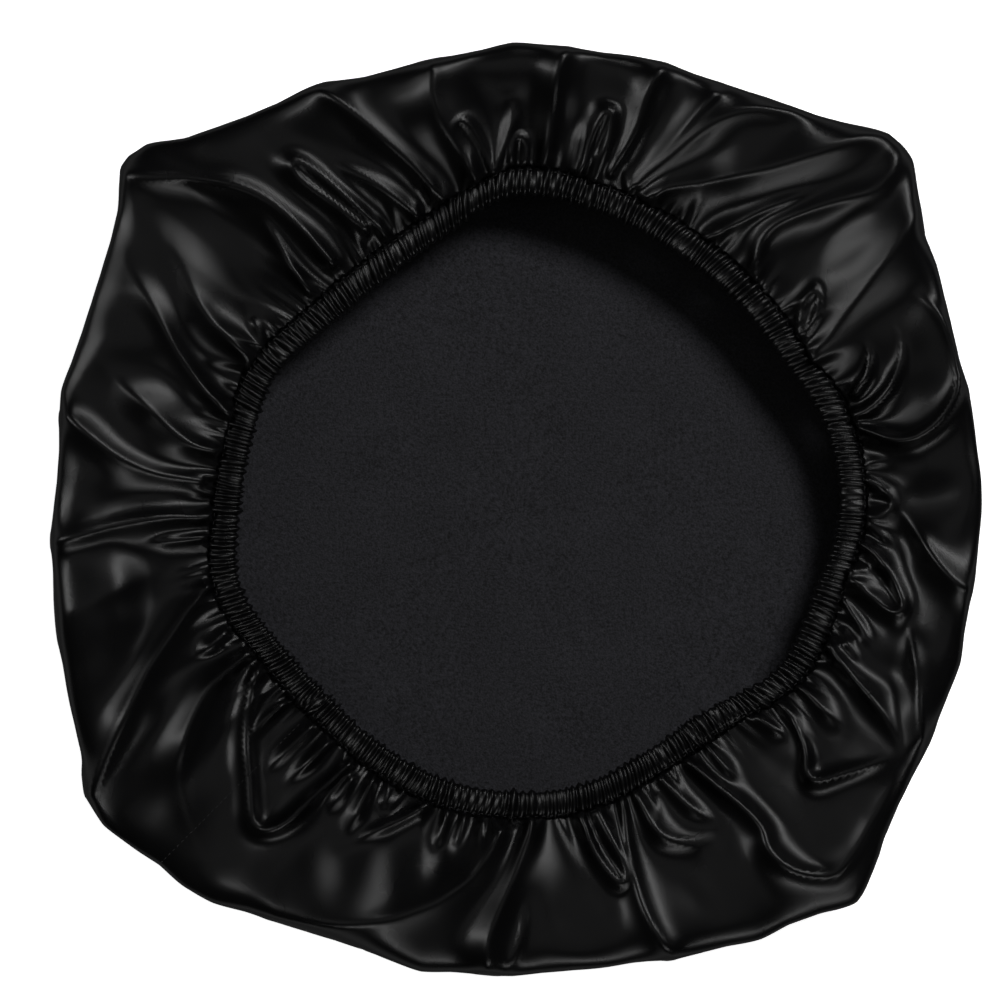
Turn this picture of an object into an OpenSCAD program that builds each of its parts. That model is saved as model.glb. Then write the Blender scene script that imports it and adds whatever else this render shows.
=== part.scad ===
// Spare tyre cover of lined vinyl, lying on its face with the elastic opening up.
// The cloth is slack, as it is off the wheel: the rim has crumpled out of round
// and the wall band bulges up between the rim seam and the hem.

/* [Face] */
// Diameter of the face disc as cut
face_d = 770; // [660:10:900]

/* [Wall band] */
// Width of the band from the rim seam to the hem
band_w = 225; // [200:5:270]
// Height of the middle of the hem above the ground
hem_z = 46; // [36:1:60]
// How far the hem rises and dips around the opening
hem_wave = 3; // [0:0.5:5]

/* [Cloth] */
// Thickness of the vinyl
vinyl_t = 0.8; // [0.6:0.1:1.2]
// Thickness of the fleece backing
lining_t = 1.2; // [0.8:0.1:1.6]

/* [Hem] */
// Mean diameter of the slack hem, at the middle of its casing
hem_d = 483; // [400:5:580]
// Width of the flattened casing
casing_w = 22; // [18:1:28]
// Height of the casing round its elastic
casing_h = 9; // [8:0.5:12]
// Width of the elastic
elastic_w = 11; // [8:1:13]
// Thickness of the elastic
elastic_t = 1.6; // [1:0.1:1.8]
// Length of the lap where the elastic's ends are sewn together
elastic_lap = 24; // [15:1:40]

/* [Seams] */
// Width of the cloth turned in at a seam
allowance_w = 9; // [6:0.5:14]
// Diameter of the sewing thread
thread_d = 0.8; // [0.5:0.1:1.2]
// Direction of the seam that joins the ends of the band
band_seam_a = 225; // [180:1:270]
// Direction of the gap through which the elastic was put in
closing_a = 312; // [280:1:340]
// Length of the stitching that closes that gap
closing_w = 60; // [40:5:100]

/* [Hidden] */

ring_steps = 96;        // sections round the cover
wall_steps = 9;         // spans from the rim to the hem
casing_steps = 13;      // spans round the casing's loop
tube_sides = 6;         // sides of a thread
corner_softening = 2.5; // degrees either side over which a crumpled corner is rounded
rim_clearance = 1;      // between the wall's foot and what lies inside it
hem_clearance = 0.3;    // between the wall's edge and the casing, which lifts
seam_clearance = 0.3;   // between the wall's lining and its pressed-open seam
least_slack = 3;        // bow left in a band that is pulled nearly straight
slit_a = 315;           // where the casing's turned edge ends, round its section
slit_w = 14;            // opening of that slit, in degrees
seam_half_w = 7;        // half the width of the pressed-open band seam

cloth_t = vinyl_t + lining_t;
hem_shift = casing_w / 2 + hem_clearance;
ring_angles = [for (i = [0 : ring_steps - 1]) 360 * i / ring_steps];

// The crumpled rim: direction, and radius as a percentage of the face disc's.
// Between these corners the rim runs straight.
rim_corners = [
    [2, 95.1], [14, 95.8], [30, 101.6], [42, 110.0], [45, 109.2], [51, 105.2], [61, 99.2],
    [74, 96.6], [90, 94.9], [102, 94.4], [114, 97.4], [124, 100.0], [135, 107.2], [138, 107.8],
    [141, 105.2], [152, 98.9], [165, 97.1], [183, 96.1], [195, 98.0], [204, 101.0], [215, 107.2],
    [220, 107.0], [231, 103.7], [241, 98.2], [254, 96.3], [258, 97.3], [270, 96.2], [282, 96.9],
    [291, 99.6], [300, 103.3], [311, 107.9], [314, 106.8], [325, 100.6], [341, 97.2], [351, 95.3]];
// The slack hem: radius as a percentage of its mean, every 15 degrees from +X.
hem_shares = [113, 112, 107, 106, 106, 108, 109, 98, 92, 91, 95, 94,
    95, 98, 93, 91, 93, 96, 97.5, 98, 95.5, 97, 107, 108.5];
hem_step = 360 / len(hem_shares);

// ---- outline of the cover and of its opening ----

function wrapped(a) = a - 360 * floor(a / 360);
function corner(i) = let (n = len(rim_corners), c = rim_corners[(i + n) % n])
    [c[0] + 360 * floor(i / n), c[1] * face_d / 200];
// Radius at direction a on the straight line between two corners.
function on_edge(a, p, q) = p[1] * q[1] * sin(q[0] - p[0])
    / (p[1] * sin(a - p[0]) + q[1] * sin(q[0] - a));
function sharp_rim(a) = let (b = wrapped(a),
    i = len([for (c = rim_corners) if (c[0] <= b) c]) - 1) on_edge(b, corner(i), corner(i + 1));
function rim_r(a) = (sharp_rim(a - corner_softening) + 2 * sharp_rim(a)
    + sharp_rim(a + corner_softening)) / 4;

function hem_share(i) = hem_shares[(i + len(hem_shares)) % len(hem_shares)];
// Smooth curve through the hem's shares.
function smooth4(p, q, r, s, t) = q + t * ((r - p) / 2
    + t * ((2 * p - 5 * q + 4 * r - s) / 2 + t * (3 * (q - r) + s - p) / 2));
function hem_r(a) = let (u = wrapped(a) / hem_step, i = floor(u))
    smooth4(hem_share(i - 1), hem_share(i), hem_share(i + 1), hem_share(i + 2), u - i)
    * hem_d / 200;
function hem_height(a) = hem_z + hem_wave * sin(2 * a - 40);

function at(a, p) = [p[0] * cos(a), p[0] * sin(a), p[1]];

// ---- the wall's section, from the rim up and over to the hem ----

function bezier(p, t) = p[0] * pow(1 - t, 3) + 3 * p[1] * t * pow(1 - t, 2)
    + 3 * p[2] * t * t * (1 - t) + p[3] * pow(t, 3);
function bezier_way(p, t) = let (d = (p[1] - p[0]) * pow(1 - t, 2)
    + 2 * (p[2] - p[1]) * t * (1 - t) + (p[3] - p[2]) * t * t) d / norm(d);
// Control points whose arch is as high as the band's slack makes it.
function arch(a) = let (
    foot = [rim_r(a), vinyl_t],
    top = [hem_r(a) + hem_shift, hem_height(a) + cloth_t / 2],
    chord = norm(top - foot),
    way = (top - foot) / chord,
    up = [way[1], -way[0]],
    rise = sqrt(3 * chord * max(band_w - chord, least_slack) / 8) / 0.75)
    [foot, foot + way * chord * 0.16 + up * rise, foot + way * chord * 0.78 + up * rise, top];
// Points at a depth inside the band's outer surface.
function wall_line(a, depth) = let (p = arch(a))
    [for (i = [0 : wall_steps]) let (
        t = i / wall_steps,
        d = bezier_way(p, t),
        q = bezier(p, t) + [-d[1], d[0]] * depth)
        [q[0], max(q[1], vinyl_t)]];
function reversed(list) = [for (i = [len(list) - 1 : -1 : 0]) list[i]];
// How far out the room inside the wall's foot reaches, up to the top of the rim seam.
function foot_r(a) = let (
    p = wall_line(a, cloth_t + seam_clearance + vinyl_t),
    share = (2 * cloth_t + thread_d - p[0][1]) / (p[1][1] - p[0][1]))
    min(p[0][0], p[0][0] + (p[1][0] - p[0][0]) * share) - rim_clearance;
function wall_loop(a, near, far) = concat(wall_line(a, near), reversed(wall_line(a, far)));

// ---- the casing's section, a loop left open at its turned edge ----

function casing_arc(a, inset, from, to) = [for (i = [0 : casing_steps]) let (
    f = from + (to - from) * i / casing_steps)
    [hem_r(a) + (casing_w / 2 - inset) * cos(f), hem_height(a) + (casing_h / 2 - inset) * sin(f)]];
function casing_loop(a) = let (from = slit_a - 360 + slit_w / 2, to = slit_a - slit_w / 2)
    concat(casing_arc(a, 0, from, to), casing_arc(a, cloth_t, to, from));
function box_loop(r, z, w, h) = [[r + w / 2, z - h / 2], [r + w / 2, z + h / 2],
    [r - w / 2, z + h / 2], [r - w / 2, z - h / 2]];
function elastic_loop(a, layer) =
    box_loop(hem_r(a), hem_height(a) - elastic_t / 2 + layer * elastic_t, elastic_w, elastic_t);

// ---- solids from sections ----

// One section after another, joined round the ring, or capped at both ends. The second
// half of a section is split the other way, so layers that touch share their triangles.
module sweep(sections, closed = true) {
    n = len(sections);
    m = len(sections[0]);
    spans = closed ? n : n - 1;
    sides = [for (i = [0 : spans - 1], j = [0 : m - 1]) let (
        k = (i + 1) % n, l = (j + 1) % m,
        p = i * m + j, q = i * m + l, r = k * m + l, s = k * m + j)
        each j < m / 2 ? [[p, q, r], [p, r, s]] : [[p, q, s], [q, r, s]]];
    ends = closed ? [] : [for (j = [0 : m / 2 - 2]) let (k = m - 1 - j, last = (n - 1) * m)
        each [[k, k - 1, j + 1], [k, j + 1, j],
            [last + j, last + j + 1, last + k - 1], [last + j, last + k - 1, last + k]]];
    polyhedron(points = [for (s = sections) each s], faces = concat(sides, ends), convexity = 8);
}

// A thread along a line of points. It is sunk to its middle in the cloth.
module thread(points, closed = true) {
    n = len(points);
    sweep([for (i = [0 : n - 1]) let (
        before = points[closed ? (i + n - 1) % n : max(i - 1, 0)],
        after = points[closed ? (i + 1) % n : min(i + 1, n - 1)],
        way = (after - before) / norm(after - before),
        out = cross(way, abs(way[2]) > 0.9 ? [1, 0, 0] : [0, 0, 1]),
        side = out / norm(out),
        up = cross(side, way))
        [for (k = [0 : tube_sides - 1]) points[i]
            + (side * cos(360 * k / tube_sides) + up * sin(360 * k / tube_sides)) * thread_d / 2]],
        closed);
}

// A few angles either side of a direction, for a piece of a given length at a radius.
function spread(a, length, r, steps) = let (half = length / r * 90 / PI)
    [for (i = [0 : steps]) a - half + 2 * half * i / steps];

// A disc to the rim, or to the room inside the wall's foot.
module disc(z, t, inside = false) {
    translate([0, 0, z])
        linear_extrude(t)
            polygon([for (a = ring_angles) (inside ? foot_r(a) : rim_r(a)) * [cos(a), sin(a)]]);
}

// ---- the pieces ----

module face_panel() {
    color([0.05, 0.05, 0.055]) disc(0, vinyl_t);
}

module face_lining() {
    color([0.13, 0.13, 0.14]) disc(vinyl_t, lining_t, inside = true);
}

module wall_band() {
    color([0.05, 0.05, 0.055])
        sweep([for (a = ring_angles) [for (p = wall_loop(a, 0, vinyl_t)) at(a, p)]]);
}

module wall_lining() {
    color([0.13, 0.13, 0.14])
        sweep([for (a = ring_angles) [for (p = wall_loop(a, vinyl_t, cloth_t)) at(a, p)]]);
}

// The edges of the face and the band, turned in along the rim seam.
module rim_allowance() {
    color([0.11, 0.11, 0.12])
        sweep([for (a = ring_angles)
            [for (p = box_loop(foot_r(a) - allowance_w / 2, cloth_t * 1.5, allowance_w, cloth_t))
                at(a, p)]]);
}

module rim_thread() {
    color([0.08, 0.08, 0.08])
        thread([for (a = ring_angles) at(a, [foot_r(a) - allowance_w / 3, cloth_t * 2])]);
}

// The band's two ends, pressed open against the inside of the wall.
module band_seam_allowance() {
    near = cloth_t + seam_clearance;
    angles = spread(band_seam_a, 2 * seam_half_w, face_d / 2, 2);
    color([0.11, 0.11, 0.12])
        sweep([for (a = angles) [for (p = wall_loop(a, near, near + vinyl_t)) at(a, p)]], false);
}

module band_seam_thread() {
    color([0.08, 0.08, 0.08])
        thread([for (p = wall_line(band_seam_a, 0)) if (p[1] > vinyl_t + thread_d)
            at(band_seam_a, p)], false);
}

module hem_casing() {
    color([0.05, 0.05, 0.055])
        sweep([for (a = ring_angles) [for (p = casing_loop(a)) at(a, p)]]);
}

// The row of stitches that holds the turned hem, near its outer edge.
function stitch_line(a, share) = at(a, [hem_r(a) + casing_w / 2 * share,
    hem_height(a) + casing_h / 2 * sqrt(1 - share * share)]);

module hem_thread() {
    color([0.08, 0.08, 0.08]) thread([for (a = ring_angles) stitch_line(a, 0.82)]);
}

module hem_closing_thread() {
    color([0.08, 0.08, 0.08])
        thread([for (a = spread(closing_a, closing_w, hem_d / 2, 8)) stitch_line(a, 0.6)], false);
}

module hem_elastic() {
    color([0.85, 0.85, 0.83]) {
        sweep([for (a = ring_angles) [for (p = elastic_loop(a, 0)) at(a, p)]]);
        sweep([for (a = spread(band_seam_a, elastic_lap, hem_d / 2, 4))
            [for (p = elastic_loop(a, 1)) at(a, p)]], false);
    }
}

// Two rows of stitches across the elastic's lapped ends.
module hem_elastic_tack() {
    row_gap = elastic_lap / 2;
    color([0.08, 0.08, 0.08])
        for (a = spread(band_seam_a, row_gap, hem_d / 2, 1))
            thread([for (x = [-0.4, 0, 0.4])
                at(a, [hem_r(a) + x * elastic_w, hem_height(a) + elastic_t])], false);
}

face_panel();
face_lining();
wall_band();
wall_lining();
rim_allowance();
rim_thread();
band_seam_allowance();
band_seam_thread();
hem_casing();
hem_thread();
hem_closing_thread();
hem_elastic();
hem_elastic_tack();
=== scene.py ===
import math

import bmesh
import bpy
import numpy as np
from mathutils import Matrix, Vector


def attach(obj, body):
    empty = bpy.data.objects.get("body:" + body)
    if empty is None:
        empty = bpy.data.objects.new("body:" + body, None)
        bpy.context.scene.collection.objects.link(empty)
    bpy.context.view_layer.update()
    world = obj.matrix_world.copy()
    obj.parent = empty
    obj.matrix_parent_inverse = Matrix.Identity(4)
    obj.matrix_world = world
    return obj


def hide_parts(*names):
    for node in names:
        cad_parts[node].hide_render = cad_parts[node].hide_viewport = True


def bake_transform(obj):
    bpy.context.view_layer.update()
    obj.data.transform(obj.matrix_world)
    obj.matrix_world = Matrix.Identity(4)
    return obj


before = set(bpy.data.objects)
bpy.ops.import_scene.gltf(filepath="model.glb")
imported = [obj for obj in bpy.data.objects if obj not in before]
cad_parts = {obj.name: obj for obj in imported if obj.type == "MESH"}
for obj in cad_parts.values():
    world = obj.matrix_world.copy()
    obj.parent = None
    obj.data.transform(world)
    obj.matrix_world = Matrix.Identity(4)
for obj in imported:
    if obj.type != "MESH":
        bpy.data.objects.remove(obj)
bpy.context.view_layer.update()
print("frame loaded:", len(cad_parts), "nodes")

mm = 0.001


def deselectAll():
    for other in bpy.context.selected_objects:
        other.select_set(False)


def meshObject(name, points, faces):
    mesh = bpy.data.meshes.new(name)
    mesh.from_pydata(points.tolist(), [], faces)
    mesh.validate()
    piece = bpy.data.objects.new(name, mesh)
    bpy.context.scene.collection.objects.link(piece)
    mesh.polygons.foreach_set("use_smooth", np.ones(len(mesh.polygons), bool))
    return piece


def gridFaces(rows, columns, start, flipped):
    # quads of a grid that closes round the ring
    i, j = np.meshgrid(np.arange(rows - 1), np.arange(columns), indexing="ij")
    k = (j + 1) % columns
    corners = [i * columns + j, i * columns + k, (i + 1) * columns + k, (i + 1) * columns + j]
    quads = np.stack([c.ravel() + start for c in corners], 1)
    return quads[:, ::-1] if flipped else quads


def edgeFaces(first, second, columns):
    # a strip between two rings of points
    j = np.arange(columns)
    k = (j + 1) % columns
    return np.stack([first + k, first + j, second + j, second + k], 1)


def shell(name, outer, inner, turned=False):
    # a thin closed sheet between two grids of the same size, running round the ring
    rows, columns = outer.shape[:2]
    count = rows * columns
    points = np.concatenate([outer.reshape(-1, 3), inner.reshape(-1, 3)])
    strips = [gridFaces(rows, columns, 0, turned), gridFaces(rows, columns, count, not turned)]
    start = edgeFaces(0, count, columns)
    end = edgeFaces(count + count - columns, count - columns, columns)
    strips += [start[:, ::-1], end[:, ::-1]] if turned else [start, end]
    return meshObject(name, points, np.concatenate(strips).tolist())


def smoothStep(x, low, high):
    t = np.clip((x - low) / (high - low), 0, 1)
    return t * t * (3 - 2 * t)


def gridNormals(points):
    along = np.roll(points, -1, 1) - np.roll(points, 1, 1)
    across = np.gradient(points, axis=0)
    normal = np.cross(along, across)
    return normal / np.maximum(np.linalg.norm(normal, axis=2, keepdims=True), 1e-12)


def inRing(angles, radius, height):
    return np.stack([radius * np.cos(angles), radius * np.sin(angles), height + 0 * radius], -1)


ringSteps = 96                  # the frame's rings have a point each 3.75 degrees
ringAngle = 360 / ringSteps


def nodeRing(name):
    # lowest and highest radius and height of a node at each of its directions
    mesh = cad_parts[name].data
    points = np.zeros(len(mesh.vertices) * 3)
    mesh.vertices.foreach_get("co", points)
    points = points.reshape(-1, 3)
    radius = np.hypot(points[:, 0], points[:, 1])
    outlying = radius > 100 * mm            # leaves out the middle of a disc
    points, radius = points[outlying], radius[outlying]
    turn = np.degrees(np.arctan2(points[:, 1], points[:, 0])) % 360
    stepOf = np.rint(turn / ringAngle).astype(int) % ringSteps
    rows = []
    for i in range(ringSteps):
        height = points[stepOf == i, 2]
        reach = radius[stepOf == i]
        rows.append((reach.min(), reach.max(), height.min(), height.max()))
    return np.array(rows)


def around(values, turn):
    # smooth value at any direction, in degrees, from one value at each step round the ring
    u = (turn % 360) / ringAngle
    i = np.floor(u).astype(int)
    t = u - i
    a, b, c, d = (values[(i + k) % ringSteps] for k in (-1, 0, 1, 2))
    cubic = b + t * ((c - a) / 2 + t * ((2 * a - 5 * b + 4 * c - d) / 2 + t * (3 * (b - c) + d - a) / 2))
    straight = b + t * (c - b)
    return 0.5 * cubic + 0.5 * straight


def crisper(values, amount):
    # sharpens the crumpled corners, which the frame's wall rounds off
    return values + amount * (values - (np.roll(values, 1) + np.roll(values, -1)) / 2)


rimRadius = nodeRing("face_panel")[:, 1]
liningRadius = nodeRing("face_lining")[:, 1]
allowanceIn, allowanceOut = nodeRing("rim_allowance")[:, :2].T
wallRing = nodeRing("wall_band")
casingRing = nodeRing("hem_casing")
hemRadius = (casingRing[:, 0] + casingRing[:, 1]) / 2
hemHeight = (casingRing[:, 2] + casingRing[:, 3]) / 2
casingHalf = float((casingRing[:, 1] - casingRing[:, 0]).mean() / 2)


def colour(hexCode):
    parts = [int(hexCode[i:i + 2], 16) / 255 for i in (1, 3, 5)]
    return [p / 12.92 if p <= 0.04045 else ((p + 0.055) / 1.055) ** 2.4 for p in parts] + [1]


def newMaterial(name, baseHex, roughness, specular=0.5):
    material = bpy.data.materials.new(name)
    material.use_nodes = True
    shader = material.node_tree.nodes["Principled BSDF"]
    shader.inputs["Base Color"].default_value = colour(baseHex)
    shader.inputs["Roughness"].default_value = roughness
    shader.inputs["Specular IOR Level"].default_value = specular
    return material, shader


def addNode(material, kind, settings=(), links=()):
    # settings are (attribute or input, value); links are (input, socket that feeds it)
    node = material.node_tree.nodes.new(kind)
    for key, value in settings:
        if isinstance(key, str) and hasattr(node, key):
            setattr(node, key, value)
        else:
            node.inputs[key].default_value = value
    for key, socket in links:
        material.node_tree.links.new(socket, node.inputs[key])
    return node


def feed(material, shader, key, socket):
    material.node_tree.links.new(socket, shader.inputs[key])


colourA, colourB, mixedColour = 6, 7, 2   # a Mix node's colour sockets, which share their names


vinylLook = {
    "base": "#030304", "worn": "#070708",
    "roughness": 0.28, "roughnessSpread": 0.05, "specular": 0.5,
    "cloudWidth": 60 * mm,
    "grainWidth": 0.9 * mm, "grainDepth": 0.05 * mm, "grainStrength": 0.35,
}


def makeVinyl():
    # PVC-coated fabric, calendered smooth: near black, with a satin gloss that shows every fold
    material, shader = newMaterial("satinVinyl", vinylLook["base"], vinylLook["roughness"],
                                   vinylLook["specular"])
    place = addNode(material, "ShaderNodeTexCoord")
    clouds = addNode(material, "ShaderNodeTexNoise",
                     [("Scale", 1 / vinylLook["cloudWidth"]), ("Detail", 3.0)],
                     [("Vector", place.outputs["Object"])])
    # handling leaves the finish a little duller in patches
    low = vinylLook["roughness"] - vinylLook["roughnessSpread"]
    high = vinylLook["roughness"] + vinylLook["roughnessSpread"]
    dull = addNode(material, "ShaderNodeMapRange", [("To Min", low), ("To Max", high)],
                   [("Value", clouds.outputs["Fac"])])
    feed(material, shader, "Roughness", dull.outputs["Result"])
    tone = addNode(material, "ShaderNodeMix",
                   [("data_type", "RGBA"), (colourA, colour(vinylLook["base"])),
                    (colourB, colour(vinylLook["worn"]))],
                   [("Factor", clouds.outputs["Fac"])])
    feed(material, shader, "Base Color", tone.outputs[mixedColour])
    # fine pebble left by the embossing roller
    grain = addNode(material, "ShaderNodeTexVoronoi",
                    [("Scale", 1 / vinylLook["grainWidth"]), ("Randomness", 1.0)],
                    [("Vector", place.outputs["Object"])])
    bump = addNode(material, "ShaderNodeBump",
                   [("Strength", vinylLook["grainStrength"]), ("Distance", vinylLook["grainDepth"])],
                   [("Height", grain.outputs["Distance"])])
    feed(material, shader, "Normal", bump.outputs["Normal"])
    return material


fleeceLook = {
    "dark": "#161618", "light": "#39393e", "roughness": 0.95, "specular": 0.2,
    "tuftWidth": 3.4 * mm, "fibreWidth": 1.6 * mm, "patchWidth": 45 * mm, "patchShare": 0.2,
    "darkBelow": 0.8, "lightAbove": 1.4,
    "tuftDepth": 0.9 * mm, "tuftStrength": 0.8,
    "sheen": 0.15, "sheenRoughness": 0.6,
}


def makeFleece():
    # brushed polyester fleece, charcoal: matt and mottled, with soft tufts
    material, shader = newMaterial("charcoalFleece", fleeceLook["dark"], fleeceLook["roughness"],
                                   fleeceLook["specular"])
    place = addNode(material, "ShaderNodeTexCoord")
    # the fibres are drawn coarser than real ones, so that they show
    tufts = addNode(material, "ShaderNodeTexNoise",
                    [("Scale", 1 / fleeceLook["tuftWidth"]), ("Detail", 4.0), ("Roughness", 0.65)],
                    [("Vector", place.outputs["Object"])])
    fibres = addNode(material, "ShaderNodeTexNoise",
                     [("Scale", 1 / fleeceLook["fibreWidth"]), ("Detail", 2.0)],
                     [("Vector", place.outputs["Object"])])
    patches = addNode(material, "ShaderNodeTexNoise",
                      [("Scale", 1 / fleeceLook["patchWidth"]), ("Detail", 2.0)],
                      [("Vector", place.outputs["Object"])])
    pile = addNode(material, "ShaderNodeMath", [("operation", "MULTIPLY_ADD"), (1, 1.0)],
                   [(0, tufts.outputs["Fac"]), (2, fibres.outputs["Fac"])])
    mottle = addNode(material, "ShaderNodeMath",
                     [("operation", "MULTIPLY_ADD"), (1, fleeceLook["patchShare"])],
                     [(0, patches.outputs["Fac"]), (2, pile.outputs["Value"])])
    ramp = addNode(material, "ShaderNodeMapRange",
                   [("From Min", fleeceLook["darkBelow"]), ("From Max", fleeceLook["lightAbove"])],
                   [("Value", mottle.outputs["Value"])])
    tone = addNode(material, "ShaderNodeMix",
                   [("data_type", "RGBA"), (colourA, colour(fleeceLook["dark"])),
                    (colourB, colour(fleeceLook["light"]))],
                   [("Factor", ramp.outputs["Result"])])
    feed(material, shader, "Base Color", tone.outputs[mixedColour])
    bump = addNode(material, "ShaderNodeBump",
                   [("Strength", fleeceLook["tuftStrength"]), ("Distance", fleeceLook["tuftDepth"])],
                   [("Height", pile.outputs["Value"])])
    feed(material, shader, "Normal", bump.outputs["Normal"])
    shader.inputs["Sheen Weight"].default_value = fleeceLook["sheen"]
    shader.inputs["Sheen Roughness"].default_value = fleeceLook["sheenRoughness"]
    return material


threadLook = {
    "base": "#1a1a1b", "roughness": 0.5,
    "twist": 0.5 * mm, "bandsPerTwist": 0.16, "twistDepth": 0.1 * mm, "twistStrength": 0.5,
}


def makeThread():
    # bonded polyester sewing thread, black, with a slight lustre along its twist
    material, shader = newMaterial("polyesterThread", threadLook["base"], threadLook["roughness"])
    place = addNode(material, "ShaderNodeTexCoord")
    twist = addNode(material, "ShaderNodeTexWave",
                    [("Scale", threadLook["bandsPerTwist"] / threadLook["twist"]),
                     ("bands_direction", "DIAGONAL")],
                    [("Vector", place.outputs["Object"])])
    bump = addNode(material, "ShaderNodeBump",
                   [("Strength", threadLook["twistStrength"]), ("Distance", threadLook["twistDepth"])],
                   [("Height", twist.outputs["Fac"])])
    feed(material, shader, "Normal", bump.outputs["Normal"])
    return material


elasticLook = {
    # groove is painted shade: the darker grey that the knit's hollows are coloured with
    "base": "#d9d8d3", "groove": "#b9b8b2", "roughness": 0.85, "specular": 0.3,
    "rib": 1.1 * mm, "knitDepth": 0.2 * mm, "knitStrength": 0.6,
}


def makeElastic():
    # knitted elastic: white and matt, with the small loops of its knit, and painted shade darkening the
    # hollows between them
    material, shader = newMaterial("knittedElastic", elasticLook["base"], elasticLook["roughness"],
                                   elasticLook["specular"])
    place = addNode(material, "ShaderNodeTexCoord")
    knit = addNode(material, "ShaderNodeTexVoronoi", [("Scale", 1 / elasticLook["rib"])],
                   [("Vector", place.outputs["Object"])])
    # painted shade: where the knit's bump is lowest the colour turns to the darker groove grey
    tone = addNode(material, "ShaderNodeMix",
                   [("data_type", "RGBA"), (colourA, colour(elasticLook["groove"])),
                    (colourB, colour(elasticLook["base"]))],
                   [("Factor", knit.outputs["Distance"])])
    feed(material, shader, "Base Color", tone.outputs[mixedColour])
    bump = addNode(material, "ShaderNodeBump",
                   [("Strength", elasticLook["knitStrength"]), ("Distance", elasticLook["knitDepth"])],
                   [("Height", knit.outputs["Distance"])])
    feed(material, shader, "Normal", bump.outputs["Normal"])
    return material


vinyl, fleece, thread, elastic = makeVinyl(), makeFleece(), makeThread(), makeElastic()


def finishPiece(piece, material, slotName, *nodeNames):
    piece.data.materials.clear()
    piece.data.materials.append(material)
    if nodeNames:
        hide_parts(*nodeNames)


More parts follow.
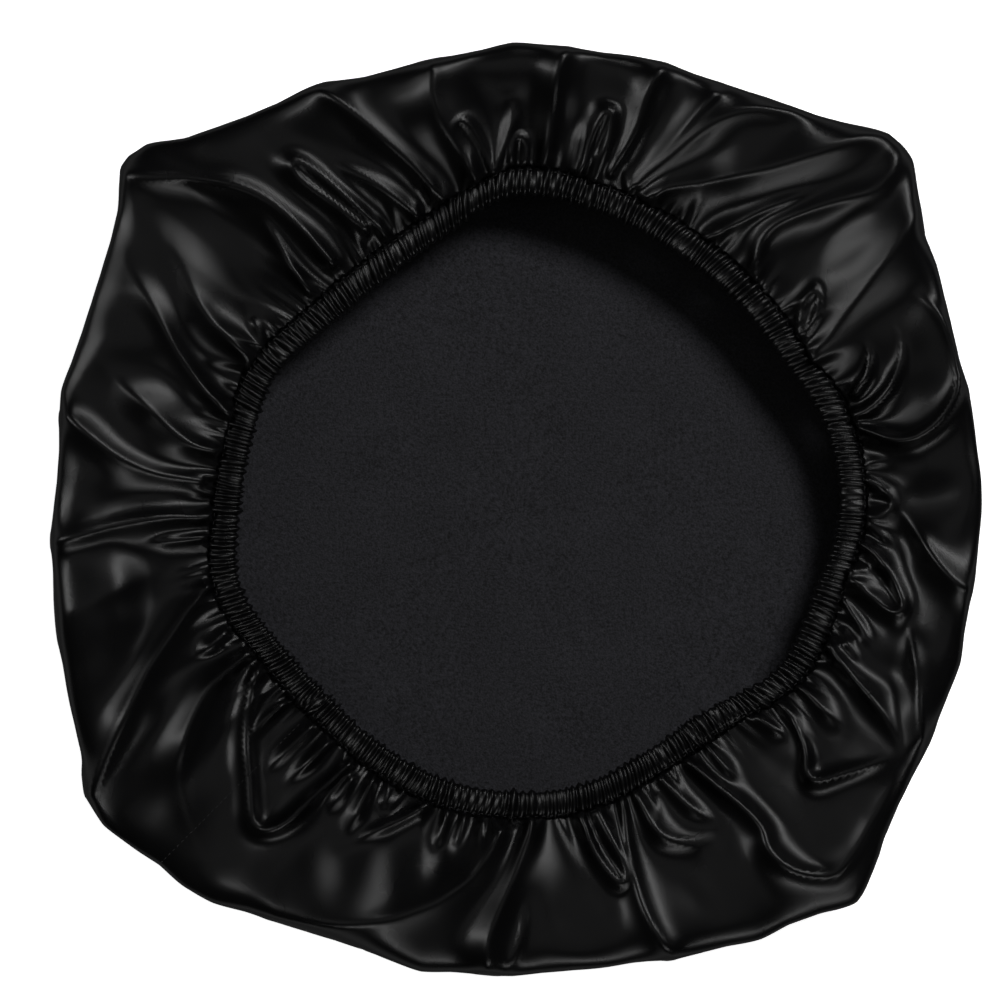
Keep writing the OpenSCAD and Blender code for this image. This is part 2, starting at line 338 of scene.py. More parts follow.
# The folds that the slack wall falls into. Each has its crest, as points of a direction in
# degrees and a share of the way from hem to rim, then its half width and its height in mm.
foldList = [
    ([(-1, .05), (0, .22), (1.5, .25), (3.5, .15), (5, .02)], 7, 6),
    ([(13.5, .06), (9.7, .39), (11.5, .7), (15.7, .93), (20.5, .96), (26, .9), (30, .68)], 6, 10),
    ([(15.5, .04), (16.2, .24), (18.7, .46), (23.2, .62), (27.7, .57)], 5.2, 9),
    ([(18.8, .11), (21, .29), (24.3, .38), (27.6, .32)], 4.6, 8),
    ([(27, 0), (31, .4), (35, .8), (37, 1)], 13, 9),
    ([(30, .02), (33, .2), (36.5, .27), (36, .15), (32, .03)], 5, 6),
    ([(43.5, 1), (41, .78), (43.5, .58), (49, .22), (44, .03)], 9, 8),
    ([(54.5, .03), (49, .42), (44, .72)], 8, 7),
    ([(46, .97), (52, .62), (58, .38), (64, .2), (67, .05)], 13, 8),
    ([(55, .95), (61, .85), (65, .5), (69, .1)], 11, 7),
    ([(64, .9), (67, .4), (70, .05)], 6, 6),
    ([(71, 1), (72.3, .75), (72, .45), (74, .1)], 7, 7),
    ([(76, .03), (75.3, .4), (76.5, .62), (78, .4), (78.7, .03)], 6, 8),
    ([(80, .05), (79.5, .5)], 5, 5),
    ([(83, 1), (84.3, .8), (84.3, .4), (85, .05)], 8, 9),
    ([(88, .04), (87.8, .2), (89, .29), (90.2, .2), (90, .04)], 5, 6),
    ([(93, .03), (89.5, .4), (90.5, .58)], 6, 7),
    ([(93.5, .05), (95, .3), (97.5, .56), (99.5, .45), (99, .3), (96.5, .08)], 6, 8),
    ([(96, .05), (101.5, .65), (100, .97)], 11, 10),
    ([(102.5, .05), (106, .35), (109.5, .6), (115, .98)], 9, 9),
    ([(108, .05), (112, .32), (119, .6)], 8, 8),
    ([(114.5, .05), (117.5, .3), (121.5, .68), (123.3, .6), (121, .4), (117.5, .15)], 7, 8),
    ([(126, .1), (126.7, .35), (129, .63), (136, .8), (139, .95)], 9, 9),
    ([(133, .05), (131.5, .3), (129, .6)], 6, 6),
    ([(150.5, .03), (149, .15), (147, .4), (143, .6), (142.8, .7)], 11, 9),
    ([(146, .03), (144, .12)], 5, 5),
    ([(161.5, .02), (156, .35), (150, .65), (147, .85)], 10, 10),
    ([(169, .05), (168.5, .2), (164, .5), (160, .82)], 12, 10),
    ([(174.5, .1), (174, .5), (168, .93)], 9, 8),
    ([(173.5, .03), (173.2, .15), (174.5, .21), (176, .12), (176.5, .02)], 4, 5),
    ([(181, .03), (181, .4), (184, .95)], 9, 9),
    ([(185, .05), (185, .45)], 6, 6),
    ([(190, .35), (193, .9)], 22, 8),
    ([(194, .05), (199, .3), (205, .6), (214, .95)], 9, 10),
    ([(203, .06), (205, .28)], 7, 7),
    ([(208, .03), (210, .3), (218, .6), (228, .82)], 10, 11),
    ([(212, .05), (221, .29), (226.5, .43), (231, .58), (234, .5), (235, .3), (237.3, .05)], 6, 10),
    ([(220, .05), (220.5, .28), (227, .45)], 6, 6),
    ([(227, .03), (226.5, .35)], 5, 6),
    ([(231.5, .03), (230.5, .3)], 5, 6),
    ([(239, .1), (238.5, .35)], 7, 6),
    ([(246, .03), (246.5, .2)], 5, 5),
    ([(242.5, .05), (243, .43)], 7, 7),
    ([(254, .03), (248, .25), (243, .45)], 6, 7),
    ([(240, .95), (250, .85), (258, .6), (264, .4), (268, .1)], 14, 11),
    ([(258, .03), (257, .3)], 5, 6),
    ([(261, .03), (260, .3)], 5, 5),
    ([(264.5, .05), (264, .25)], 6, 5),
    ([(273.5, .03), (270, .4), (266.5, .75), (267, .95)], 10, 10),
    ([(269, .97), (271.5, .7), (272, .35)], 6, 5),
    ([(282.5, .03), (283.5, .3), (286.5, .53), (288, .4), (286.5, .2), (285.5, .04)], 7, 9),
    ([(290.5, .03), (288.5, .35), (288, .7), (290, .97)], 7, 8),
    ([(293.5, .03), (294, .3), (298, .4), (303, .4)], 7, 8),
    ([(299, .03), (301, .25), (304, .38)], 6, 6),
    ([(305, .03), (309, .45), (306.5, .6), (309, .8), (320, .88), (327, .88)], 6.5, 9),
    ([(309.5, .03), (310, .25)], 6, 5),
    ([(327.5, .8), (322, .6), (317, .47), (321, .36), (323, .2)], 5, 9),
    ([(327, .88), (330, .72), (332.5, .5), (334, .3), (337, .05)], 6.5, 10),
    ([(328.5, .03), (326.5, .45)], 6, 7),
    ([(324.5, .03), (323, .2), (322.5, .4)], 6, 7),
    ([(320, .03), (320.5, .25)], 5, 6),
    ([(340, .1), (335, .35)], 4, 4),
    ([(345, .03), (342, .2), (339, .35)], 5, 6),
    ([(349, .03), (344.6, .4), (346, .52), (350, .36), (353, .2), (354.5, .03)], 7, 9),
    ([(345, .5), (338, .72), (331, .9)], 10, 8),
    ([(358, .03), (354.5, .3)], 5, 6),
    ([(361, .25), (357, .45), (351, .8), (350, .97)], 10, 10),
]

wallShape = {
    "columns": 800, "rows": 60, "rowPower": 0.9,
    "bandWidth": 225 * mm, "rimLength": 2448 * mm, "vinylThick": 0.8 * mm,
    "footHeight": 0.8 * mm, "edgeTuck": 0.8 * mm,
    "crestShare": 0.93, "shoulderPower": 0.29, "cornerCrispness": 1.3, "fullness": 1.3 * mm,
    "sectionSteps": 161, "wayStep": 0.01,
    "sink": 3.0,                                   # mm, so that the cloth keeps its mean place
    "footEnd": 0.08,                               # share of the rows over which the folds begin
    "rimFade": 0.8, "rimFrom": 0.95, "rimTo": 1.1,
    "outlineFade": 0.9, "outlineFrom": 0.8, "outlineTo": 0.98,
}

sideShape = {
    "edgeAt": 0.88, "crest": 88, "sag": 13,        # share of the way, percentile, mm
    "leans": 5, "lean": 60, "leanFrom": 60 * mm,
    "rise": (2 * mm, 20 * mm), "fall": (40 * mm, 64 * mm),
}


def wallSection(turn, rows):
    # one arch of cloth at each direction: up from the rim, round a shoulder, and in to the hem
    foot = np.stack([around(rimRadius, turn), wallShape["footHeight"] + 0 * turn], -1)
    top = np.stack([around(hemRadius, turn) + casingHalf - wallShape["edgeTuck"],
                    around(hemHeight, turn)], -1)
    reach = around(crisper(wallRing[:, 1], wallShape["cornerCrispness"]), turn) + wallShape["fullness"]
    crest = around(wallRing[:, 3], turn)
    shoulder = np.stack([reach, crest * wallShape["crestShare"]], -1)
    t = np.linspace(0, 1, wallShape["sectionSteps"])[:, None, None] * math.pi / 2
    power = wallShape["shoulderPower"]
    rising, crossing = np.sin(t) ** power, 1 - np.cos(t) ** power
    for _ in range(3):
        # moves the shoulder until the widest point is at the outline
        line = foot + (shoulder - foot) * rising + (top - shoulder) * crossing
        shoulder[:, 0] += reach - line[:, :, 0].max(0)
    steps = np.linalg.norm(np.diff(line, axis=0), axis=2)
    reached = np.concatenate([np.zeros((1, len(turn))), np.cumsum(steps, 0)])
    reached /= reached[-1]
    columns = []
    for j in range(len(turn)):
        columns.append(np.stack([np.interp(rows, reached[:, j], line[:, j, k]) for k in (0, 1)], -1))
    return np.stack(columns, 1)


def softened(path, times=3):
    # cuts the corners of a path of points
    for _ in range(times):
        inner = []
        for a, b in zip(path[:-1], path[1:]):
            inner += [a * 0.75 + b * 0.25, a * 0.25 + b * 0.75]
        path = np.array([path[0]] + inner + [path[-1]])
    return path


foldShape = {
    "radiusAtHem": 250, "radiusGrowth": 130, "length": 225.0, "degreeWidth": 5.2,   # mm
    "height": 1.25, "tip": 2.2, "softness": 0.9,
    "bigFrom": 5, "bigSpread": 0.13,
    "hemWidth": 0.35, "hemTaper": 1.6,
    "fade": 0.85, "fadeFrom": 0.5, "shortest": 0.12, "hemEnd": 0.2, "rimEnd": 0.9,
}


def nearestOnPath(path, turn, share):
    # distance in mm to a crest, and the share of the way along it, at each point of the wall
    perDegree = (foldShape["radiusAtHem"] + foldShape["radiusGrowth"] * share) * math.pi / 180
    length = foldShape["length"]
    steps = np.hypot(np.diff(path[:, 0]) * foldShape["degreeWidth"], np.diff(path[:, 1]) * length)
    reached = np.concatenate([[0], np.cumsum(steps)]) / steps.sum()
    nearest = np.full(share.shape, 1e9)
    way = np.zeros(share.shape)
    for i in range(len(path) - 1):
        a, b = path[i], path[i + 1]
        dx = ((turn - a[0] + 180) % 360 - 180) * perDegree
        dy = (share - a[1]) * length
        ex, ey = (b[0] - a[0]) * perDegree, (b[1] - a[1]) * length
        t = np.clip((dx * ex + dy * ey) / (ex * ex + ey * ey + 1e-9), 0, 1)
        gap = np.hypot(dx - t * ex, dy - t * ey)
        closer = gap < nearest
        nearest[closer] = gap[closer]
        way[closer] = (reached[i] + t * (reached[i + 1] - reached[i]))[closer]
    return nearest, way


def foldHeights(turn, share):
    # height in mm of all the folds, at each direction and share of the way from hem to rim
    height = np.zeros(share.shape)
    softness = foldShape["softness"]
    for points, halfWidth, tall in foldList:
        nearest, way = nearestOnPath(softened(np.array(points, float)), turn, share)
        fromHem = way if points[0][1] < points[-1][1] else 1 - way
        # a big fold has long flat flanks, and all are narrower at the hem
        flankWidth = halfWidth * (1 + foldShape["bigSpread"] * max(halfWidth - foldShape["bigFrom"], 0))
        widening = np.sin(math.pi / 2 * np.clip(fromHem * foldShape["hemTaper"], 0, 1))
        width = flankWidth * (foldShape["hemWidth"] + (1 - foldShape["hemWidth"]) * widening)
        tip = foldShape["tip"] / width
        # a fold that stops short of the rim dies away, and so does one that starts off the hem
        low, high = sorted((points[0][1], points[-1][1]))
        long = high - low > foldShape["shortest"]
        if high < foldShape["rimEnd"] and long:
            tall = tall * (1 - foldShape["fade"] * smoothStep(fromHem, foldShape["fadeFrom"], 1))
        if low > foldShape["hemEnd"] and long:
            tall = tall * (1 - foldShape["fade"] * smoothStep(1 - fromHem, foldShape["fadeFrom"], 1))
        fold = tall * foldShape["height"] * np.exp(tip - np.sqrt((nearest / width) ** 2 + tip ** 2))
        height = np.log(np.exp(height / softness) + np.exp(fold / softness) - 1) * softness
    return height


gatherShape = {
    "count": 150, "seed": 3, "jitter": 0.3,
    "shortest": 12, "longest": 46, "lowest": 1.6, "tallest": 5.0,                   # mm
    "lean": 1.2, "leanOver": 30, "degreeWidth": 4.7,
    "width": 2.0, "spread": 0.09, "tip": 0.4,
}


def gatherHeights(turn, depth):
    # small gathers that start at the hem; depth is the distance from it in mm
    random = np.random.default_rng(gatherShape["seed"])
    count, jitter, tip = gatherShape["count"], gatherShape["jitter"], gatherShape["tip"]
    places = (np.arange(count) + random.uniform(-jitter, jitter, count)) * 360 / count
    lengths = random.uniform(gatherShape["shortest"], gatherShape["longest"], count)
    talls = random.uniform(gatherShape["lowest"], gatherShape["tallest"], count)
    leans = random.normal(0, gatherShape["lean"], count)
    width = gatherShape["width"] + depth * gatherShape["spread"]
    height = np.zeros(turn.shape)
    for place, length, tall, lean in zip(places, lengths, talls, leans):
        aside = (turn - place - lean * depth / gatherShape["leanOver"] + 180) % 360 - 180
        across = aside * gatherShape["degreeWidth"]
        ridge = np.exp(tip - np.sqrt((across / width) ** 2 + tip ** 2))
        height += tall * ridge * np.exp(-(depth / length) ** 2)
    return height


billowShape = {
    "size": 0.6, "seed": 11, "waves": (7, 11, 16, 21, 27, 34, 43, 55), "mainWave": 27,
    "lean": 2.2, "slowest": 2.5, "fastest": 6,
}


def billows(turn, share):
    # broad uneven hollows between the folds
    random = np.random.default_rng(billowShape["seed"])
    height = np.zeros(turn.shape)
    for waves in billowShape["waves"]:
        start = random.uniform(0, 2 * math.pi)
        lean = random.normal(0, billowShape["lean"])
        bow = random.uniform(0, 6)
        speed = random.uniform(billowShape["slowest"], billowShape["fastest"])
        across = np.sin(np.radians(turn) * waves + start + lean * share * 2)
        height += across * np.sin(share * speed + bow) * (billowShape["mainWave"] / waves) ** 0.5
    return height * billowShape["size"]


def makeWall():
    columns, rowCount = wallShape["columns"], wallShape["rows"]
    rows = np.linspace(0, 1, rowCount) ** wallShape["rowPower"]
    turn = np.arange(columns) * 360 / columns
    line = wallSection(turn, rows)
    step = wallShape["wayStep"]
    way = wallSection(turn, np.minimum(rows + step, 1)) - wallSection(turn, np.maximum(rows - step, 0))
    way /= np.linalg.norm(way, axis=2, keepdims=True)
    radius, height = line[:, :, 0], line[:, :, 1]
    reach = radius.max(0)
    share = (radius - radius[-1]) / (reach - radius[-1])
    under = np.arange(rowCount)[:, None] < radius.argmax(0)[None, :]
    share = np.where(under, 2 - share, share)
    turns = turn[None, :] + 0 * share
    depth = (1 - rows)[:, None] * foldShape["length"] + 0 * share
    folds = foldHeights(turns, share) + billows(turns, share) - wallShape["sink"]
    folds *= 1 - wallShape["rimFade"] * smoothStep(share, wallShape["rimFrom"], wallShape["rimTo"])
    folds += gatherHeights(turns, depth)
    folds *= smoothStep(rows[:, None], 0, wallShape["footEnd"])
    # below the edge the side falls in between the folds, and is straight again at the seam
    edgeRow = np.abs(share - sideShape["edgeAt"] + 9 * under).argmin(0)
    edgeFold = folds[edgeRow, np.arange(columns)]
    sag = np.clip(edgeFold - np.percentile(edgeFold, sideShape["crest"]), -sideShape["sag"], 0)
    leaning = np.sin(np.radians(turns) * sideShape["leans"])
    lean = leaning * (sideShape["leanFrom"] - height) * sideShape["lean"]
    side = smoothStep(height, *sideShape["rise"]) * (1 - smoothStep(height, *sideShape["fall"]))
    side = side * (rows[:, None] < 0.5)
    radius = radius + np.interp(turns + lean, turn, sag, period=360) * side * mm
    # at the edge the folds lift the cloth but leave the outline where the rim pulls it
    fading = smoothStep(share, wallShape["outlineFrom"], wallShape["outlineTo"])
    out = way[:, :, 1] * (1 - wallShape["outlineFade"] * fading)
    return dict(turns=turns, radius=radius, height=height, out=out, up=-way[:, :, 0], folds=folds * mm)


def displaced(wall, lift):
    angles = np.radians(wall["turns"])
    return inRing(angles, wall["radius"] + wall["out"] * lift, wall["height"] + wall["up"] * lift)


wall = makeWall()
wallOuter = displaced(wall, wall["folds"])
wallNormal = gridNormals(wallOuter)
wallInner = wallOuter - wallNormal * wallShape["vinylThick"]
wallBand = shell("wallBand", wallOuter, wallInner)
finishPiece(wallBand, vinyl, "vinyl", "wall_band")
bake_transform(wallBand)
print("wall band made")

liningShape = {"thick": 1.2 * mm, "gap": 1.5 * mm, "lowest": 2.3 * mm, "across": 2, "along": 1}


def makeWallLining():
    # the fleece backing keeps to the hollows of the vinyl, on a grid half as fine
    folds, radius = wall["folds"], wall["radius"]
    hollow, inmost = folds.copy(), radius.copy()
    for across in range(-liningShape["across"], liningShape["across"] + 1):
        inmost = np.minimum(inmost, np.roll(radius, across, 1))
        for along in range(-liningShape["along"], liningShape["along"] + 1):
            hollow = np.minimum(hollow, np.roll(np.roll(folds, along, 0), across, 1))
    coarse = {key: value[::2, ::2] for key, value in dict(wall, radius=inmost).items()}
    coarse["height"] = np.maximum(coarse["height"], liningShape["lowest"])
    middle = displaced(coarse, hollow[::2, ::2])
    normal = gridNormals(middle)
    outer = middle - normal * liningShape["gap"]
    return outer, outer - normal * liningShape["thick"]


liningOuter, liningInner = makeWallLining()
wallLining = shell("wallLining", liningOuter, liningInner)
finishPiece(wallLining, fleece, "fleece", "wall_lining")
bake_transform(wallLining)
print("wall lining made")


faceShape = {
    "columns": 480, "rings": 40, "inset": 0.2 * mm,
    "vinylThick": 0.8 * mm, "liningTop": 2.0 * mm,
    "wave": 0.6 * mm, "vinylWave": 0.3,            # the vinyl takes this share of the wave
    "pucker": 0.5 * mm, "puckers": 61, "puckerFrom": 0.86,
}


def disc(name, rim, bottom, top, material, slotName, nodeName):
    # a round sheet in rings, closed at its middle
    columns, rings = faceShape["columns"], faceShape["rings"]
    turn = np.arange(columns) * 360 / columns
    shares = np.linspace(0, 1, rings + 1)[1:][::-1]
    radius = shares[:, None] * around(rim, turn)[None, :]
    angles = np.radians(turn)[None, :] + 0 * radius
    layers = [inRing(angles, radius, 0 * radius + top(angles, shares[:, None])),
              inRing(angles, radius, 0 * radius + bottom(angles, shares[:, None]))]
    count = rings * columns
    points = np.concatenate([layers[0].reshape(-1, 3), layers[1].reshape(-1, 3),
                             [[0, 0, float(layers[0][-1, :, 2].mean())],
                              [0, 0, float(layers[1][-1, :, 2].mean())]]])
    faces = [gridFaces(rings, columns, 0, False), gridFaces(rings, columns, count, True),
             edgeFaces(0, count, columns)]
    faces = np.concatenate(faces).tolist()
    last = count - columns
    for j in range(columns):
        k = (j + 1) % columns
        faces.append([last + j, last + k, 2 * count])
        faces.append([count + last + k, count + last + j, 2 * count + 1])
    piece = meshObject(name, points, faces)
    finishPiece(piece, material, slotName, nodeName)
    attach(piece, "cover")
    return piece


def faceWave(angles, shares):
    # the slack face lies in faint broad waves, and puckers a little along the rim seam
    start = faceShape["puckerFrom"]
    wave = np.sin(3 * angles + 5 * shares) * np.sin(7 * shares + 1.3)
    wave = wave + np.sin(5 * angles - 9 * shares) * 0.6
    waving = (wave + 1.6) * faceShape["wave"] * (1 - shares ** 6) * smoothStep(shares, 0, 0.2)
    pucker = np.sin(angles * faceShape["puckers"]) * smoothStep(shares, start, 1.0)
    puckering = (pucker + 1) * faceShape["pucker"] * smoothStep(shares, start, 0.95)
    return waving + puckering * (1 - smoothStep(shares, 0.97, 1.0))


def vinylUnderside(angles, shares):
    return faceWave(angles, shares) * faceShape["vinylWave"]


def vinylTop(angles, shares):
    return vinylUnderside(angles, shares) + faceShape["vinylThick"]


def fleeceTop(angles, shares):
    return faceWave(angles, shares) + faceShape["liningTop"]


# the vinyl is underneath and the fleece on top
facePanel = disc("facePanel", rimRadius - faceShape["inset"], vinylUnderside, vinylTop,
                 vinyl, "vinyl", "face_panel")
faceLining = disc("faceLining", liningRadius, vinylTop, fleeceTop,
                  fleece, "fleece", "face_lining")
print("face made")


# The hem is cloth turned over the elastic and ruched, open along a slit at its foot.
casingShape = {
    "ridgePitch": 6.5 * mm, "pitchSpread": 0.3, "perRidge": 8,
    "aroundOuter": 20, "aroundInner": 9,
    "halfHeight": 5.4 * mm, "proud": 1.0 * mm, "ridgeHeight": 3.4 * mm,
    "slant": 2.6 * mm, "slitTurn": -45, "slitOpen": 9,
    "innerDrop": 0.9 * mm, "seed": 5,
    "lowest": 0.65, "tallest": 1.2, "sunk": 0.75, "flatTop": 1.4, "bulge": 0.55,
    "slantMean": 0.5, "slantSpread": 0.6,
    "knots": (225, 312), "knotSpan": 5, "knotSlant": 1.2,
    "degreesPerRadian": 57.3,
}


def hemRidges():
    # the mean radius of the hem and the number of ridges round it
    mean = hemRadius.mean()
    return mean, int(round(2 * math.pi * mean / casingShape["ridgePitch"]))


def casingPoints(turn, sectionTurn, inset):
    # a ruched tube: ridges run over it from edge to edge
    random = np.random.default_rng(casingShape["seed"])
    meanRadius, ridges = hemRidges()
    gaps = random.uniform(1 - casingShape["pitchSpread"], 1 + casingShape["pitchSpread"], ridges)
    edges = np.concatenate([[0], np.cumsum(gaps)]) / gaps.sum() * 360
    talls = random.uniform(casingShape["lowest"], casingShape["tallest"], ridges)
    slants = random.normal(casingShape["slantMean"], casingShape["slantSpread"], ridges)
    slants = (slants + np.roll(slants, 1) + np.roll(slants, -1)) / 3
    bulges = random.normal(0, casingShape["bulge"], ridges) * mm
    for knot in casingShape["knots"]:
        close = np.abs((edges[:-1] - knot + 180) % 360 - 180) < casingShape["knotSpan"]
        talls[close] *= random.uniform(0.9, 1.6, close.sum())
        slants[close] += random.normal(0, casingShape["knotSlant"], close.sum())
    a = np.radians(sectionTurn)[:, None]
    blendedSlant = np.interp(turn, (edges[:-1] + edges[1:]) / 2, slants, period=360)
    slide = blendedSlant[None, :] * np.cos(a + 0.6) * casingShape["slant"] / meanRadius
    shifted = (turn[None, :] + slide * casingShape["degreesPerRadian"]) % 360
    index = np.clip(np.searchsorted(edges, shifted, side="right") - 1, 0, ridges - 1)
    part = (shifted - edges[index]) / (edges[index + 1] - edges[index])
    wave = 1 - np.abs(2 * part - 1) ** casingShape["flatTop"]
    tallest = casingShape["ridgeHeight"]
    lift = talls[index] * wave * tallest - tallest * casingShape["sunk"]
    lift = lift + bulges[index] * wave
    lift -= inset
    half = casingHalf + casingShape["proud"]
    tall = casingShape["halfHeight"]
    nx, nz = np.cos(a) / half, np.sin(a) / tall
    size = np.hypot(nx, nz)
    radius = around(hemRadius, turn)[None, :] + half * np.cos(a) + lift * nx / size
    height = around(hemHeight, turn)[None, :] + tall * np.sin(a) + lift * nz / size
    return inRing(np.radians(turn)[None, :] + 0 * radius, radius, height)


def makeCasing():
    columns = hemRidges()[1] * casingShape["perRidge"]
    turn = np.arange(columns) * 360 / columns
    first = casingShape["slitTurn"] + casingShape["slitOpen"]
    last = casingShape["slitTurn"] + 360 - casingShape["slitOpen"]
    outerTurn = np.linspace(first, last, casingShape["aroundOuter"])
    innerTurn = np.linspace(last, first, casingShape["aroundInner"])
    section = np.concatenate([casingPoints(turn, outerTurn, 0.0),
                              casingPoints(turn, innerTurn, casingShape["innerDrop"])])
    rows = section.shape[0]
    faces = np.concatenate([gridFaces(rows, columns, 0, False),
                            edgeFaces(0, (rows - 1) * columns, columns)])
    return meshObject("hemCasing", section.reshape(-1, 3), faces.tolist())


hemCasing = makeCasing()
finishPiece(hemCasing, vinyl, "vinyl", "hem_casing")
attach(hemCasing, "hem")
print("hem casing made")


# a flat ribbed band inside the hem
elasticShape = {"columns": 480, "width": 11 * mm, "thick": 1.6 * mm, "ribs": 8, "ribDepth": 0.2 * mm}


def makeElasticLoop():
    columns, ribs = elasticShape["columns"], elasticShape["ribs"]
    turn = np.arange(columns) * 360 / columns
    across = np.linspace(-1, 1, ribs * 2 + 1)
    groove = np.where(np.arange(len(across)) % 2 == 0, 0, elasticShape["ribDepth"])
    mid = around(hemHeight, turn)[None, :]
    radius = around(hemRadius, turn)[None, :] + across[:, None] * elasticShape["width"] / 2
    angles = np.radians(turn)[None, :] + 0 * radius
    flat = elasticShape["thick"] / 2 - elasticShape["ribDepth"]
    top = inRing(angles, radius, mid + flat + groove[:, None])
    bottom = inRing(angles, radius, mid - flat - groove[:, None])
    return shell("hemElastic", top, bottom, turned=True)


hemElastic = makeElasticLoop()
finishPiece(hemElastic, elastic, "elastic", "hem_elastic")
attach(hemElastic, "hem")


stitchShape = {
    "thick": 0.8 * mm, "length": 3.4 * mm, "sides": 6, "barShare": 0.55, "endSize": 0.6,
    "rimPitch": 4.2 * mm, "hemPitch": 6.4 * mm, "closingPitch": 3.2 * mm,
    "hemShare": 0.84, "closingShare": 0.6, "closingFrom": 305, "closingTo": 319,
    "rimInset": 3 * mm, "rimHeight": 4.1 * mm,
}


def oneStitch():
    # a short bar of thread whose ends dive into the cloth
    deselectAll()
    bpy.ops.mesh.primitive_cylinder_add(vertices=stitchShape["sides"], radius=stitchShape["thick"] / 2,
                                        depth=stitchShape["length"] * stitchShape["barShare"],
                                        rotation=(0, math.pi / 2, 0))
    bpy.ops.object.transform_apply(location=True, rotation=True, scale=True)
    bar = bpy.context.active_object
    bpy.ops.object.mode_set(mode="EDIT")
    for side in (-1, 1):
        bpy.ops.mesh.select_mode(type="FACE")
        bpy.ops.mesh.select_all(action="DESELECT")
        edit = bmesh.from_edit_mesh(bar.data)
        edit.faces.ensure_lookup_table()
        for face in edit.faces:
            if face.normal.x * side > 0.9:
                face.select_set(True)
        bmesh.update_edit_mesh(bar.data)
        drop = (side * stitchShape["length"] * (1 - stitchShape["barShare"]) / 2, 0,
                -stitchShape["thick"] * stitchShape["barShare"])
        bpy.ops.mesh.extrude_region_move(TRANSFORM_OT_translate={"value": drop})
        bpy.ops.transform.resize(value=(stitchShape["endSize"],) * 3)
    bpy.ops.object.mode_set(mode="OBJECT")
    points = np.array([v.co for v in bar.data.vertices])
    faces = [list(p.vertices) for p in bar.data.polygons]
    bpy.data.objects.remove(bar)
    return points, faces


stitchPoints, stitchFaces = oneStitch()


def stitchRow(name, places, ways, normals):
    # one stitch at each place, lying along the seam's way on the cloth with this normal
    points, faces = [], []
    for place, way, normal in zip(places, ways, normals):
        way = way / np.linalg.norm(way)
        side = np.cross(normal, way)
        side /= np.linalg.norm(side)
        up = np.cross(way, side)
        base = len(points) * len(stitchPoints)
        points.append(place + stitchPoints @ np.array([way, side, up]))
        faces += [[base + i for i in face] for face in stitchFaces]
    return meshObject(name, np.concatenate(points), faces)


def ringStitches(name, pitch, radiusOf, heightOf, fromTurn=0, toTurn=360):
    mean = float(radiusOf(np.arange(360.0)).mean())
    count = int(math.radians(toTurn - fromTurn) * mean / pitch)
    turn = fromTurn + (np.arange(count) + 0.5) * (toTurn - fromTurn) / count
    places = inRing(np.radians(turn), radiusOf(turn), heightOf(turn))
    after = inRing(np.radians(turn + 0.05), radiusOf(turn + 0.05), heightOf(turn + 0.05))
    return stitchRow(name, places, after - places, np.tile([0, 0, 1.0], (count, 1)))


def hemLine(share):
    # a line on top of the casing, this share of the way from its middle to its outer side
    def radiusOf(turn):
        return around(hemRadius, turn) + casingHalf * share

    def heightOf(turn):
        return around(hemHeight, turn) + casingShape["halfHeight"] * (1 - share * share) ** 0.5
    return radiusOf, heightOf


hemStitches = ringStitches("hemStitches", stitchShape["hemPitch"],
                           *hemLine(stitchShape["hemShare"]))
finishPiece(hemStitches, thread, "thread", "hem_thread")
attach(hemStitches, "hem")
closingStitches = ringStitches("closingStitches", stitchShape["closingPitch"],
                               *hemLine(stitchShape["closingShare"]),
                               stitchShape["closingFrom"], stitchShape["closingTo"])
finishPiece(closingStitches, thread, "thread", "hem_closing_thread")
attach(closingStitches, "hem")

allowanceShape = {
    "columns": 960, "rows": 7, "bottom": 2.1 * mm, "top": 4.0 * mm,
    "wander": 0.5 * mm, "wanders": (37, 83), "curl": 0.5 * mm, "curls": 53,
}


def makeAllowance():
    # the turned-in edges lie flat on the lining, a little wavy along the cut
    columns = allowanceShape["columns"]
    turn = np.arange(columns) * 360 / columns
    shares = np.linspace(0, 1, allowanceShape["rows"])[:, None]
    slow, fast = allowanceShape["wanders"]
    wander = np.sin(np.radians(turn) * slow) + np.sin(np.radians(turn) * fast + 1)
    inner = around(allowanceIn, turn) + wander * allowanceShape["wander"]
    radius = inner + (around(allowanceOut, turn) - inner) * shares
    curling = 1.2 + np.sin(np.radians(turn) * allowanceShape["curls"])
    curl = (1 - shares) ** 2 * curling * allowanceShape["curl"]
    angles = np.radians(turn)[None, :] + 0 * radius
    bottom = inRing(angles, radius, curl + allowanceShape["bottom"])
    top = inRing(angles, radius, curl + allowanceShape["top"])
    return shell("rimAllowance", top, bottom, turned=True)


rimAllowance = makeAllowance()
finishPiece(rimAllowance, fleece, "fleece", "rim_allowance")
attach(rimAllowance, "cover")
rimStitches = ringStitches("rimStitches", stitchShape["rimPitch"],
                           lambda turn: around(allowanceOut, turn) - stitchShape["rimInset"],
                           lambda turn: stitchShape["rimHeight"] + 0 * turn)
finishPiece(rimStitches, thread, "thread", "rim_thread")
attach(rimStitches, "cover")

bandSeam = {
    "turn": 225, "stitches": 44, "ahead": 0.5 * mm,
    "gap": 0.3 * mm, "thick": 0.9 * mm, "halfColumns": 2,
}


def bandSeamRow():
    # up the wall from the rim to the hem, where the band's two ends meet
    column = int(round(bandSeam["turn"] / 360 * wallShape["columns"]))
    line = wallOuter[2:-3, column]
    normal = wallNormal[2:-3, column]
    length = np.concatenate([[0], np.cumsum(np.linalg.norm(np.diff(line, axis=0), axis=1))])
    at = np.linspace(0.01, 0.99, bandSeam["stitches"]) * length[-1]
    places = np.stack([np.interp(at, length, line[:, k]) for k in range(3)], 1)
    later = np.stack([np.interp(at + bandSeam["ahead"], length, line[:, k]) for k in range(3)], 1)
    normals = np.stack([np.interp(at, length, normal[:, k]) for k in range(3)], 1)
    return stitchRow("bandSeamStitches", places, later - places, normals)


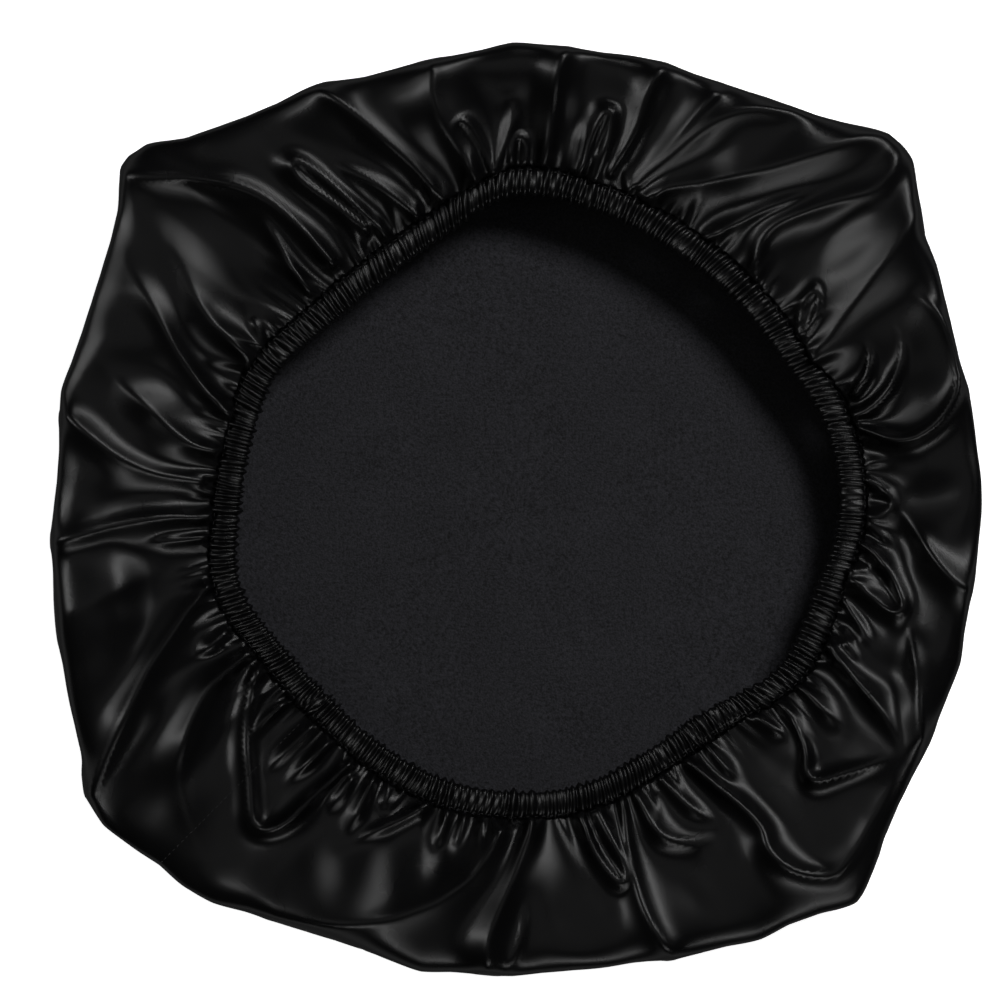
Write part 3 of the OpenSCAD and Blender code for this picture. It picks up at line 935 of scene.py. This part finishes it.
bandSeamStitches = bandSeamRow()
finishPiece(bandSeamStitches, thread, "thread", "band_seam_thread")
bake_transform(bandSeamStitches)


def makeBandAllowance():
    # the band's ends, pressed open against the inside of the wall's lining
    middle = int(round(bandSeam["turn"] / 360 * liningInner.shape[1]))
    strip = slice(middle - bandSeam["halfColumns"], middle + bandSeam["halfColumns"] + 1)
    normal = gridNormals(liningInner)[1:-2, strip]
    top = liningInner[1:-2, strip] - normal * bandSeam["gap"]
    bottom = top - normal * bandSeam["thick"]
    rows, columns = top.shape[:2]
    count = rows * columns
    faces = []
    for i in range(rows - 1):
        for j in range(columns - 1):
            here, above = i * columns + j, (i + 1) * columns + j
            quad = [here, here + 1, above + 1, above]
            faces += [quad, [count + k for k in reversed(quad)]]
    edge = list(range(columns)) + [i * columns + columns - 1 for i in range(1, rows)]
    edge += [(rows - 1) * columns + j for j in range(columns - 2, -1, -1)]
    edge += [i * columns for i in range(rows - 2, 0, -1)]
    for a, b in zip(edge, edge[1:] + edge[:1]):
        faces.append([b, a, count + a, count + b])
    points = np.concatenate([top.reshape(-1, 3), bottom.reshape(-1, 3)])
    return meshObject("bandSeamAllowance", points, faces)


bandAllowance = makeBandAllowance()
finishPiece(bandAllowance, fleece, "fleece", "band_seam_allowance")
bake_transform(bandAllowance)

# the tack is the one CAD node that stays, in the thread's material
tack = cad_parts["hem_elastic_tack"]
tack.data.materials.clear()
tack.data.materials.append(thread)
print("seams made")


stageLook = {
    "floorSize": 30, "floorHeight": -0.6 * mm, "floorGlow": 1.0,
    "cameraHeight": 4.2, "frameWidth": 0.800,
    "cameraX": -0.010, "cameraY": 0.0088, "focusZ": 0.05, "sensor": 36,
    "worldEnds": (0.04, 0.02),
    "worldBand": ((0.2, 0.06), (0.36, 0.24), (0.5, 0.12), (0.56, 0.02)),
}

# Each light: its name, place, size, power in watts and what it is for. The panels and strips
# are only mirrored, and draw the pale streaks and broad sheens on the vinyl.
lights = [
    ("keyLight", (1.5, 1.9, 2.4), (1.0, 0.8), 62, "matt"),
    ("overhead", (0.0, 0.2, 2.6), (1.5, 1.5), 1.0, "both"),
    ("sidePanel", (1.7, 1.4, 2.1), (1.6, 1.6), 6.5, "gloss"),
    ("leftPanel", (-2.0, 0.8, 2.0), (1.2, 1.6), 4.2, "gloss"),
    ("lowPanel", (0.2, -2.1, 2.0), (1.6, 1.2), 3.2, "gloss"),
    ("keyStrip", (1.2, 1.7, 2.0), (2.2, 0.16), 10, "gloss"),
    ("leftStrip", (-1.9, 0.5, 1.9), (0.14, 2.2), 7, "gloss"),
    ("lowStrip", (0.6, -2.0, 1.8), (2.2, 0.12), 4.5, "gloss"),
]


def makeFloor():
    deselectAll()
    bpy.ops.mesh.primitive_plane_add(size=stageLook["floorSize"],
                                     location=(0, 0, stageLook["floorHeight"]))
    floor = bpy.context.active_object
    floor.name = "floor"
    material, shader = newMaterial("paleFloor", "#ffffff", 0.9, 0.0)
    shader.inputs["Emission Color"].default_value = colour("#ffffff")
    shader.inputs["Emission Strength"].default_value = stageLook["floorGlow"]
    floor.data.materials.append(material)
    floor.visible_glossy = False


def areaLight(name, place, size, power, seen):
    # seen says whether the light is for the gloss, the matt surfaces or both
    light = bpy.data.lights.new(name, "AREA")
    light.shape = "RECTANGLE"
    light.size, light.size_y = size
    light.energy = power
    holder = bpy.data.objects.new(name, light)
    bpy.context.scene.collection.objects.link(holder)
    holder.location = place
    holder.rotation_euler = (-Vector(place)).to_track_quat("-Z", "Y").to_euler()
    holder.visible_glossy = seen != "matt"
    holder.visible_diffuse = seen != "gloss"


makeFloor()
for lightSettings in lights:
    areaLight(*lightSettings)


def makeWorld():
    # a dark room with a pale band of wall round the horizon, which the sides of the cover reflect
    world = bpy.data.worlds.new("studio")
    bpy.context.scene.world = world
    world.use_nodes = True
    spot = addNode(world, "ShaderNodeTexCoord")
    split = addNode(world, "ShaderNodeSeparateXYZ", [], [("Vector", spot.outputs["Generated"])])
    rise = addNode(world, "ShaderNodeMapRange", [("From Min", -1.0), ("From Max", 1.0)],
                   [("Value", split.outputs["Z"])])
    ramp = addNode(world, "ShaderNodeValToRGB", [], [("Fac", rise.outputs["Result"])])
    stops = ramp.color_ramp.elements
    for stop, bright in zip(stops, stageLook["worldEnds"]):
        stop.color = (bright, bright, bright, 1)
    for place, bright in stageLook["worldBand"]:
        stops.new(place).color = (bright, bright, bright, 1)
    background = world.node_tree.nodes["Background"]
    world.node_tree.links.new(ramp.outputs["Color"], background.inputs["Color"])


makeWorld()
lens = bpy.data.cameras.new("camera")
lens.sensor_width = stageLook["sensor"]
reach = stageLook["cameraHeight"] - stageLook["focusZ"]
lens.lens = stageLook["sensor"] * reach / stageLook["frameWidth"]
camera = bpy.data.objects.new("camera", lens)
bpy.context.scene.collection.objects.link(camera)
camera.location = (stageLook["cameraX"], stageLook["cameraY"], stageLook["cameraHeight"])
bpy.context.scene.camera = camera
bpy.context.scene.view_settings.view_transform = "Standard"
bpy.context.scene.view_settings.look = "None"
print("stage made")

bpy.context.view_layer.update()
